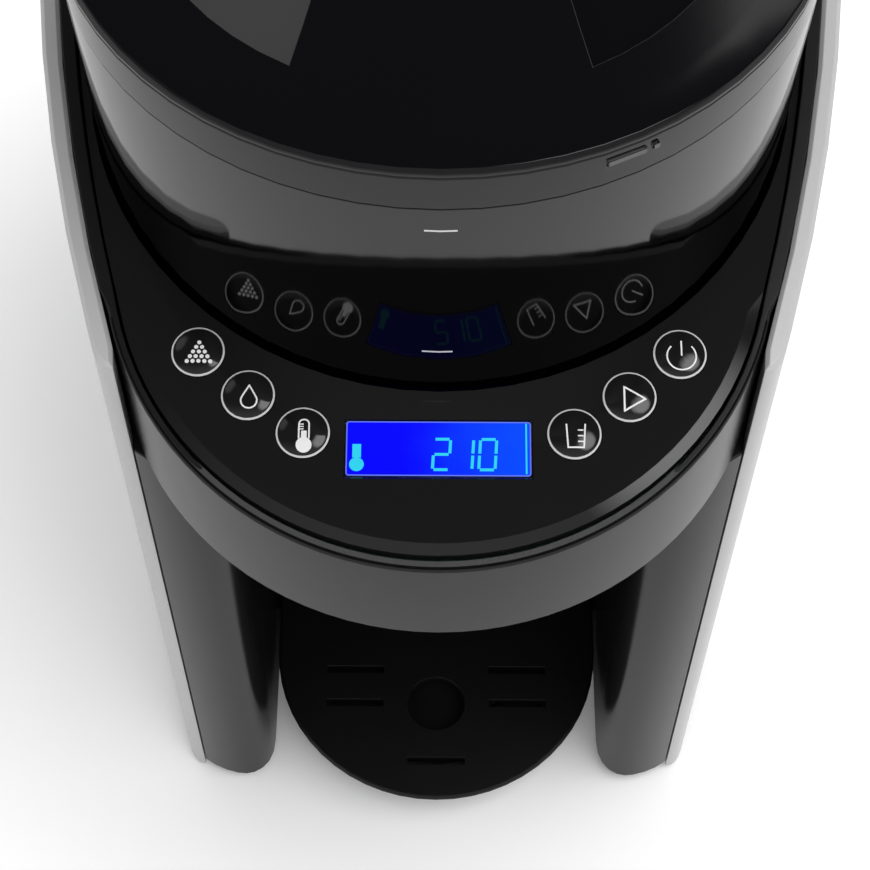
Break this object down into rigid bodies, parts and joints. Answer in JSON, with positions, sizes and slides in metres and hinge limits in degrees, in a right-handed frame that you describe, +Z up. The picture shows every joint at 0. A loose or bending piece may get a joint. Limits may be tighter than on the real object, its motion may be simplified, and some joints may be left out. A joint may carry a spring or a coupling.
{
  "type": "baby formula maker",
  "caption": "Countertop formula maker with a round powder container and lid, sloping ring control panel, bottle bay with stand, rear water tank and powder drive.",
  "frame": {"origin": "centre of the footprint on the surface that the feet rest on", "axes": "+Z up, front and control panel towards -Y, +X to the right seen from the front"},
  "size_m": [0.2356, 0.3238, 0.3683],
  "materials": {
    "silver_panel": "satin silver-grey shells",
    "dark_gloss": "glossy dark grey moulding",
    "band_grey": "semi-gloss metallic grey ring",
    "piano_black": "high-gloss black",
    "black_matte": "fine matte black",
    "smoke_wall": "glossy smoke-black container",
    "lid_black": "glossy black lid",
    "rubber": "dull black rubber",
    "silicone": "pale silicone",
    "display_blue": "lit blue display",
    "window_clear": "clear tinted window",
    "circuit_green": "circuit board",
    "white_plastic": "off-white moulding",
    "smoke_clear": "clear smoke-tinted plastic",
    "steel": "plain steel",
    "motor_steel": "zinc plated steel",
    "brass": "machined brass",
    "hose_clear": "milky silicone hose"
  },
  "bodies": {
    "machine": {"base_plate": "black_matte", "foot_front_right": "rubber", "foot_front_left": "rubber", "foot_rear_right": "rubber", "foot_rear_left": "rubber", "front_housing": "dark_gloss", "right_side_panel": "silver_panel", "left_side_panel": "silver_panel", "rear_cover": "dark_gloss", "power_inlet": "rubber", "head_band": "band_grey", "control_panel": "piano_black", "display_window": "window_clear", "display_module": "display_blue", "control_board": "circuit_green", "container_deck": "black_matte", "head_floor": "black_matte", "tank_shelf": "black_matte", "water_pump": "motor_steel", "water_heater": "steel", "tank_hose": "hose_clear", "pump_hose": "hose_clear", "outlet_hose": "hose_clear", "water_nozzle": "silicone", "main_board": "circuit_green", "motor_bracket": "steel", "powder_motor": "motor_steel"},
    "container": {"powder_container": "smoke_wall", "scraper": "white_plastic"},
    "lid": {"powder_lid": "lid_black", "lid_seal": "silicone"},
    "rotor": {"dosing_wheel": "white_plastic", "stirrer": "white_plastic"},
    "gear": {"drive_gear": "white_plastic", "drive_shaft": "steel"},
    "pinion": {"motor_pinion": "brass", "motor_shaft": "steel"},
    "tank": {"water_tank": "smoke_clear", "tank_valve": "silicone"},
    "tank_cover": {"tank_lid": "dark_gloss"},
    "funnel": {"funnel_drawer": "black_matte", "mixing_funnel": "smoke_clear", "funnel_cover": "white_plastic"},
    "stand": {"bottle_stand": "black_matte"},
    "stand_plate": {"stand_cover": "black_matte"},
    "powder_key": {"powder_button": "piano_black"},
    "water_key": {"water_button": "piano_black"},
    "temperature_key": {"temperature_button": "piano_black"},
    "volume_key": {"volume_button": "piano_black"},
    "start_key": {"start_button": "piano_black"},
    "power_key": {"power_button": "piano_black"}
  },
  "joints": [
    {"name": "container_lift", "type": "slide", "parent": "machine", "child": "container", "axis": [0, 0, 1], "range_m": [0, 0.12]},
    {"name": "lid_lift", "type": "slide", "parent": "container", "child": "lid", "axis": [0, 0, 1], "range_m": [0, 0.06]},
    {"name": "wheel_spin", "type": "hinge", "parent": "container", "child": "rotor", "pos_m": [0, -0.01405, 0.259], "axis": [0, 0, 1], "continuous": true},
    {"name": "gear_spin", "type": "hinge", "parent": "machine", "child": "gear", "pos_m": [0, -0.01405, 0.24], "axis": [0, 0, 1], "continuous": true},
    {"name": "motor_spin", "type": "hinge", "parent": "machine", "child": "pinion", "pos_m": [0, 0.0149, 0.24], "axis": [0, 0, 1], "continuous": true},
    {"name": "tank_lift", "type": "slide", "parent": "machine", "child": "tank", "axis": [0, 0, 1], "range_m": [0, 0.2]},
    {"name": "tank_lid_lift", "type": "slide", "parent": "tank", "child": "tank_cover", "axis": [0, 0, 1], "range_m": [0, 0.05]},
    {"name": "funnel_slide", "type": "slide", "parent": "machine", "child": "funnel", "axis": [0, -1, 0], "range_m": [0, 0.11]},
    {"name": "stand_slide", "type": "slide", "parent": "machine", "child": "stand", "axis": [0, -1, 0], "range_m": [0, 0.1]},
    {"name": "stand_cover_lift", "type": "slide", "parent": "stand", "child": "stand_plate", "axis": [0, 0, 1], "range_m": [0, 0.04]},
    {"name": "powder_press", "type": "slide", "parent": "machine", "child": "powder_key", "axis": [0, 0.1771, -0.9842], "range_m": [0, 0.0008], "stiffness_N_per_m": 600},
    {"name": "water_press", "type": "slide", "parent": "machine", "child": "water_key", "axis": [0, 0.1771, -0.9842], "range_m": [0, 0.0008], "stiffness_N_per_m": 600},
    {"name": "temperature_press", "type": "slide", "parent": "machine", "child": "temperature_key", "axis": [0, 0.1771, -0.9842], "range_m": [0, 0.0008], "stiffness_N_per_m": 600},
    {"name": "volume_press", "type": "slide", "parent": "machine", "child": "volume_key", "axis": [0, 0.1771, -0.9842], "range_m": [0, 0.0008], "stiffness_N_per_m": 600},
    {"name": "start_press", "type": "slide", "parent": "machine", "child": "start_key", "axis": [0, 0.1771, -0.9842], "range_m": [0, 0.0008], "stiffness_N_per_m": 600},
    {"name": "power_press", "type": "slide", "parent": "machine", "child": "power_key", "axis": [0, 0.1771, -0.9842], "range_m": [0, 0.0008], "stiffness_N_per_m": 600}
  ],
  "couplings": [
    {"joint": "gear_spin", "follows": "wheel_spin", "ratio": 1},
    {"joint": "motor_spin", "follows": "wheel_spin", "ratio": -3}
  ]
}
